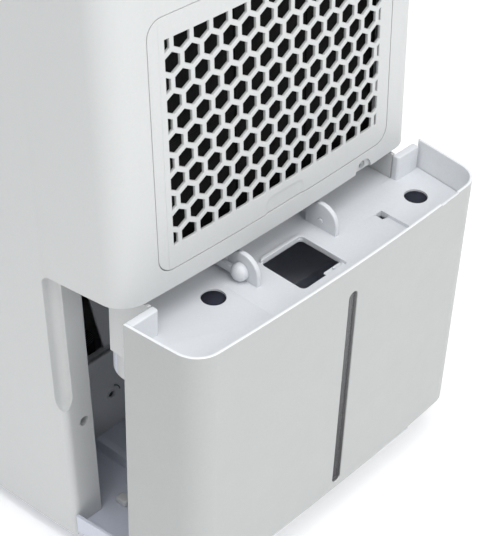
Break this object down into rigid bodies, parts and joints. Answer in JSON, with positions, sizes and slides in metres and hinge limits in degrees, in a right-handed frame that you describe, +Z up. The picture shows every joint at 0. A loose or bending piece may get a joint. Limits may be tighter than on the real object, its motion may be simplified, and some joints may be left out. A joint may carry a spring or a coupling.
{
  "type": "dehumidifier",
  "caption": "Free-standing compressor dehumidifier with a bowed white cabinet, honeycomb intake grille, pull-out leaning water bucket and hidden casters.",
  "frame": {"origin": "on the floor plane, on the cabinet's middle plane, under the foremost line of the closed front face", "axes": "+Z up, -Y towards the user at the front, +X to the user's right"},
  "size_m": [0.3924, 0.3702, 0.617],
  "materials": {
    "white_shell": "satin white",
    "white_bucket": "satin white, faintly blue",
    "dark_trim": "black, fine texture",
    "grey_inner": "dark blue-grey",
    "smoked_lens": "smoked, polished",
    "red_float": "dark red",
    "fin_alloy": "mill finish",
    "copper_tube": "bright copper",
    "black_paint": "black enamel",
    "zinc_steel": "zinc plated",
    "green_board": "solder mask",
    "black_rubber": "matt",
    "caster_tyre": "moulded nylon"
  },
  "bodies": {
    "cabinet": {"front_housing": "white_shell", "rear_housing": "white_shell", "top_cover": "white_shell", "base_tray": "white_shell", "humidity_sensor": "white_shell", "drip_tray": "white_bucket", "fan_shroud": "white_bucket", "outlet_grille": "dark_trim", "control_panel": "dark_trim", "cord_gland": "dark_trim", "full_switch": "dark_trim", "bay_wall": "grey_inner", "machine_deck": "grey_inner", "board_bracket_left": "grey_inner", "board_bracket_right": "grey_inner", "display_lens": "smoked_lens", "evaporator": "fin_alloy", "condenser": "fin_alloy", "run_capacitor": "fin_alloy", "refrigerant_pipe": "copper_tube", "compressor": "black_paint", "fan_motor": "black_paint", "motor_bracket": "zinc_steel", "compressor_foot_plate": "zinc_steel", "control_board": "green_board", "front_screw": "zinc_steel", "post_screw_left": "zinc_steel", "post_screw_right": "zinc_steel", "bay_screw": "zinc_steel", "grommet_left": "black_rubber", "grommet_right": "black_rubber", "grommet_rear": "black_rubber"},
    "filter": {"filter_cover": "white_shell", "filter_screen": "dark_trim"},
    "runner": {"bucket_runner": "grey_inner"},
    "bucket": {"bucket_cover": "white_shell", "bucket_lid": "white_bucket", "bucket_tank": "white_bucket", "level_window": "smoked_lens"},
    "handle": {"carry_handle": "white_bucket"},
    "float": {"level_float": "red_float"},
    "fan": {"fan_wheel": "dark_trim"},
    "drain_cap": {"drain_cap": "white_bucket"},
    "full_lever": {"full_lever": "dark_trim"},
    "button_power": {"button_power": "grey_inner"},
    "button_mode": {"button_mode": "grey_inner"},
    "button_fan": {"button_fan": "grey_inner"},
    "button_down": {"button_down": "grey_inner"},
    "button_up": {"button_up": "grey_inner"},
    "button_timer": {"button_timer": "grey_inner"},
    "fork_front_left": {"caster_fork_front_left": "zinc_steel"},
    "wheel_front_left": {"caster_wheel_front_left": "caster_tyre"},
    "fork_front_right": {"caster_fork_front_right": "zinc_steel"},
    "wheel_front_right": {"caster_wheel_front_right": "caster_tyre"},
    "fork_rear_left": {"caster_fork_rear_left": "zinc_steel"},
    "wheel_rear_left": {"caster_wheel_rear_left": "caster_tyre"},
    "fork_rear_right": {"caster_fork_rear_right": "zinc_steel"},
    "wheel_rear_right": {"caster_wheel_rear_right": "caster_tyre"}
  },
  "joints": [
    {"name": "bucket_slide", "type": "slide", "parent": "cabinet", "child": "runner", "axis": [0, -1, 0], "range_m": [-0.068, 0.2]},
    {"name": "bucket_tip", "type": "hinge", "parent": "runner", "child": "bucket", "pos_m": [0, -0.063, 0.0467], "axis": [1, 0, 0], "range_deg": [-3.22, 0]},
    {"name": "handle_swing", "type": "hinge", "parent": "bucket", "child": "handle", "pos_m": [0, -0.00137, 0.29535], "axis": [1, 0, 0], "range_deg": [0, 48]},
    {"name": "float_rise", "type": "slide", "parent": "bucket", "child": "float", "axis": [0, -0.0562, 0.9984], "range_m": [0, 0.205]},
    {"name": "filter_pull", "type": "slide", "parent": "cabinet", "child": "filter", "axis": [0, -1, 0], "range_m": [0, 0.12]},
    {"name": "fan_spin", "type": "hinge", "parent": "cabinet", "child": "fan", "pos_m": [0, 0.165, 0.455], "axis": [0, 1, 0], "continuous": true},
    {"name": "drain_cap_pull", "type": "slide", "parent": "cabinet", "child": "drain_cap", "axis": [0, 1, 0], "range_m": [0, 0.03]},
    {"name": "full_lever_rock", "type": "hinge", "parent": "cabinet", "child": "full_lever", "pos_m": [-0.064, 0.135, 0.3205], "axis": [1, 0, 0], "range_deg": [-2, 6]},
    {"name": "press_power", "type": "slide", "parent": "cabinet", "child": "button_power", "axis": [0, 0, -1], "range_m": [0, 0.0012], "stiffness_N_per_m": 600, "springref_m": -0.0005},
    {"name": "press_mode", "type": "slide", "parent": "cabinet", "child": "button_mode", "axis": [0, 0, -1], "range_m": [0, 0.0012], "stiffness_N_per_m": 600, "springref_m": -0.0005},
    {"name": "press_fan", "type": "slide", "parent": "cabinet", "child": "button_fan", "axis": [0, 0, -1], "range_m": [0, 0.0012], "stiffness_N_per_m": 600, "springref_m": -0.0005},
    {"name": "press_down", "type": "slide", "parent": "cabinet", "child": "button_down", "axis": [0, 0, -1], "range_m": [0, 0.0012], "stiffness_N_per_m": 600, "springref_m": -0.0005},
    {"name": "press_up", "type": "slide", "parent": "cabinet", "child": "button_up", "axis": [0, 0, -1], "range_m": [0, 0.0012], "stiffness_N_per_m": 600, "springref_m": -0.0005},
    {"name": "press_timer", "type": "slide", "parent": "cabinet", "child": "button_timer", "axis": [0, 0, -1], "range_m": [0, 0.0012], "stiffness_N_per_m": 600, "springref_m": -0.0005},
    {"name": "swivel_front_left", "type": "hinge", "parent": "cabinet", "child": "fork_front_left", "pos_m": [-0.15, 0.042, 0.025], "axis": [0, 0, 1], "continuous": true},
    {"name": "roll_front_left", "type": "hinge", "parent": "fork_front_left", "child": "wheel_front_left", "pos_m": [-0.15, 0.042, 0.011], "axis": [1, 0, 0], "continuous": true},
    {"name": "swivel_front_right", "type": "hinge", "parent": "cabinet", "child": "fork_front_right", "pos_m": [0.15, 0.042, 0.025], "axis": [0, 0, 1], "continuous": true},
    {"name": "roll_front_right", "type": "hinge", "parent": "fork_front_right", "child": "wheel_front_right", "pos_m": [0.15, 0.042, 0.011], "axis": [1, 0, 0], "continuous": true},
    {"name": "swivel_rear_left", "type": "hinge", "parent": "cabinet", "child": "fork_rear_left", "pos_m": [-0.15, 0.24, 0.025], "axis": [0, 0, 1], "continuous": true},
    {"name": "roll_rear_left", "type": "hinge", "parent": "fork_rear_left", "child": "wheel_rear_left", "pos_m": [-0.15, 0.24, 0.011], "axis": [1, 0, 0], "continuous": true},
    {"name": "swivel_rear_right", "type": "hinge", "parent": "cabinet", "child": "fork_rear_right", "pos_m": [0.15, 0.24, 0.025], "axis": [0, 0, 1], "continuous": true},
    {"name": "roll_rear_right", "type": "hinge", "parent": "fork_rear_right", "child": "wheel_rear_right", "pos_m": [0.15, 0.24, 0.011], "axis": [1, 0, 0], "continuous": true}
  ]
}
